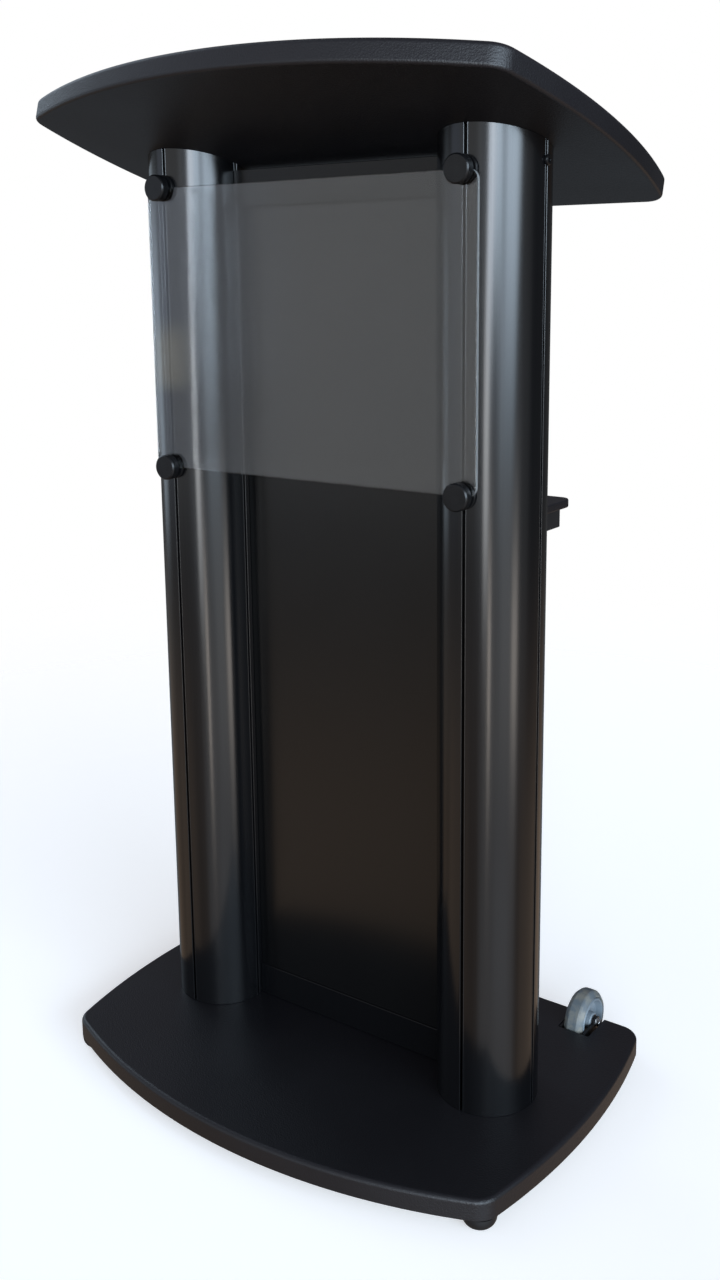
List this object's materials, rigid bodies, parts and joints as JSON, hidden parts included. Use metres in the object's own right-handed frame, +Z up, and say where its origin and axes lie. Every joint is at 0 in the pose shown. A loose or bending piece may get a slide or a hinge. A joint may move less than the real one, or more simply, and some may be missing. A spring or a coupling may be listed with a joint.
{
  "type": "presentation lectern",
  "caption": "Free-standing lectern: bowed base board, two round slotted columns, sloped reading board, clear front plate, rear shelf and tilt-to-roll wheels.",
  "frame": {"origin": "on the floor, under the centre of the lectern's bounding box", "axes": "+Z up, +Y towards the speaker's side (shelf and wheels), +X across the lectern"},
  "size_m": [0.6084, 0.4425, 1.1146],
  "materials": {
    "board": "fibreboard wrapped in black fine-grained foil",
    "column": "black satin anodised",
    "panel": "black semi-gloss sheet",
    "acrylic": "clear polished acrylic",
    "fitting": "black satin",
    "steel": "bright zinc plated",
    "bracket": "black powder coat",
    "tyre": "grey moulded rubber",
    "wheel_core": "blue-grey moulded plastic",
    "nylon": "black nylon",
    "foot_rubber": "matte black"
  },
  "bodies": {
    "stand": {"base_board": "board", "top_board": "board", "shelf_board": "board", "paper_stop": "board", "left_column": "column", "right_column": "column", "top_rail": "column", "bottom_rail": "column", "centre_panel": "panel", "front_plate": "acrylic", "left_bottom_plug": "bracket", "right_bottom_plug": "bracket", "left_top_plug": "bracket", "right_top_plug": "bracket", "left_shelf_arm": "bracket", "right_shelf_arm": "bracket", "left_wheel_bracket": "bracket", "right_wheel_bracket": "bracket", "standoff_cap_high_left": "fitting", "standoff_cap_high_right": "fitting", "standoff_cap_low_left": "fitting", "standoff_cap_low_right": "fitting", "standoff_spacer_high_left": "fitting", "standoff_spacer_high_right": "fitting", "standoff_spacer_low_left": "fitting", "standoff_spacer_low_right": "fitting", "standoff_nut_high_left": "steel", "standoff_nut_high_right": "steel", "standoff_nut_low_left": "steel", "standoff_nut_low_right": "steel", "left_lock_screw": "fitting", "right_lock_screw": "fitting", "left_arm_screw": "fitting", "right_arm_screw": "fitting", "left_arm_nut": "steel", "right_arm_nut": "steel", "panel_screw_high_left": "fitting", "panel_screw_high_right": "fitting", "panel_screw_low_left": "fitting", "panel_screw_low_right": "fitting", "left_base_bolt": "steel", "right_base_bolt": "steel", "left_top_bolt": "steel", "right_top_bolt": "steel", "left_bracket_screw_1": "steel", "left_bracket_screw_2": "steel", "right_bracket_screw_1": "steel", "right_bracket_screw_2": "steel", "left_axle_bolt": "steel", "right_axle_bolt": "steel", "front_left_foot": "foot_rubber", "front_right_foot": "foot_rubber", "back_left_foot": "foot_rubber", "back_right_foot": "foot_rubber"},
    "left_wheel": {"left_tyre": "tyre", "left_wheel_core": "wheel_core", "left_wheel_bush": "nylon"},
    "right_wheel": {"right_tyre": "tyre", "right_wheel_core": "wheel_core", "right_wheel_bush": "nylon"}
  },
  "joints": [
    {"name": "left_wheel_spin", "type": "hinge", "parent": "stand", "child": "left_wheel", "pos_m": [-0.217, 0.1868, 0.036], "axis": [1, 0, 0], "continuous": true},
    {"name": "right_wheel_spin", "type": "hinge", "parent": "stand", "child": "right_wheel", "pos_m": [0.217, 0.1868, 0.036], "axis": [1, 0, 0], "continuous": true}
  ]
}
